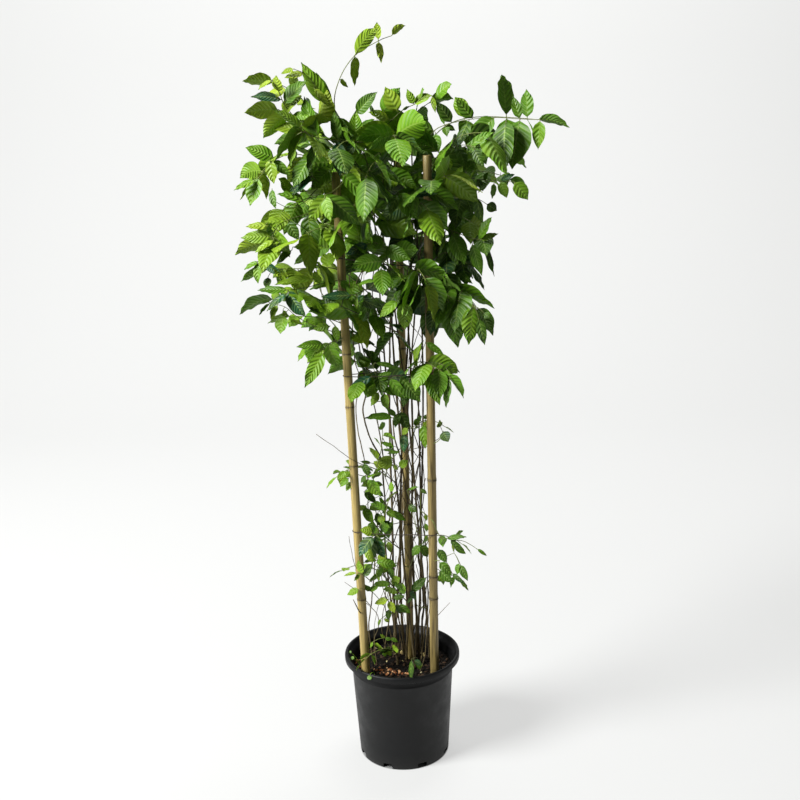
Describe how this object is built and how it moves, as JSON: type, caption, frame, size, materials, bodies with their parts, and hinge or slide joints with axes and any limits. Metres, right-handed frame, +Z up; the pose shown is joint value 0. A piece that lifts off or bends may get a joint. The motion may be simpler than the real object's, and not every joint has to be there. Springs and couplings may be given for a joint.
{
  "type": "potted rangoon creeper",
  "caption": "Climbing plant with twining woody stems and a leafy crown, tied to bamboo canes in a plain round nursery pot.",
  "frame": {"origin": "middle of the pot's flat foot, on the surface that the pot stands on", "axes": "+Z up along the canes, -Y towards the front, +X to the right as seen from the front"},
  "size_m": [0.7667, 0.5865, 1.838],
  "materials": {
    "pot_plastic": "moulded black, lightly scuffed",
    "bark_mix": "damp dark bark chips",
    "bamboo": "dry cane, satin skin",
    "twine": "twisted dark twine",
    "woody_stem": "thin brown bark",
    "leaf": "mature leaf, satin upper face",
    "young_leaf": "young leaf, satin upper face"
  },
  "bodies": {
    "root": {"cane_back": "bamboo", "cane_left": "bamboo", "cane_right": "bamboo", "growing_mix": "bark_mix", "pot": "pot_plastic", "shoot_back_high": "leaf", "shoot_back_left": "leaf", "shoot_back_low": "leaf", "shoot_back_middle": "leaf", "shoot_back_right": "leaf", "shoot_front_left": "leaf", "shoot_front_left_high": "leaf", "shoot_front_middle": "leaf", "shoot_front_right": "leaf", "shoot_front_right_high": "leaf", "shoot_front_top": "leaf", "shoot_left_far": "leaf", "shoot_left_low": "leaf", "shoot_left_low_back": "leaf", "shoot_left_low_high": "leaf", "shoot_left_lowest": "leaf", "shoot_left_mid": "leaf", "shoot_left_mid_high": "leaf", "shoot_low_climber_front": "young_leaf", "shoot_low_climber_left": "young_leaf", "shoot_low_foot": "young_leaf", "shoot_low_heart": "young_leaf", "shoot_low_left": "young_leaf", "shoot_low_left_high": "young_leaf", "shoot_low_right": "young_leaf", "shoot_low_right_high": "young_leaf", "shoot_middle": "leaf", "shoot_middle_high": "leaf", "shoot_middle_low": "leaf", "shoot_middle_low_right": "leaf", "shoot_right_arch": "leaf", "shoot_right_back": "leaf", "shoot_right_cluster": "leaf", "shoot_right_front_high": "leaf", "shoot_right_low": "leaf", "shoot_right_lower": "leaf", "shoot_right_lowest": "leaf", "shoot_right_mid": "leaf", "shoot_top_left": "leaf", "shoot_top_middle": "leaf", "shoot_top_right": "leaf", "shoot_top_sprig": "leaf", "shoot_upper_left_high": "leaf", "shoot_upper_left_mid": "leaf", "tie_low": "twine", "tie_middle": "twine", "tie_top": "twine", "woody_stem_01": "woody_stem", "woody_stem_02": "woody_stem", "woody_stem_03": "woody_stem", "woody_stem_04": "woody_stem", "woody_stem_05": "woody_stem", "woody_stem_06": "woody_stem", "woody_stem_07": "woody_stem", "woody_stem_08": "woody_stem"}
  },
  "joints": []
}
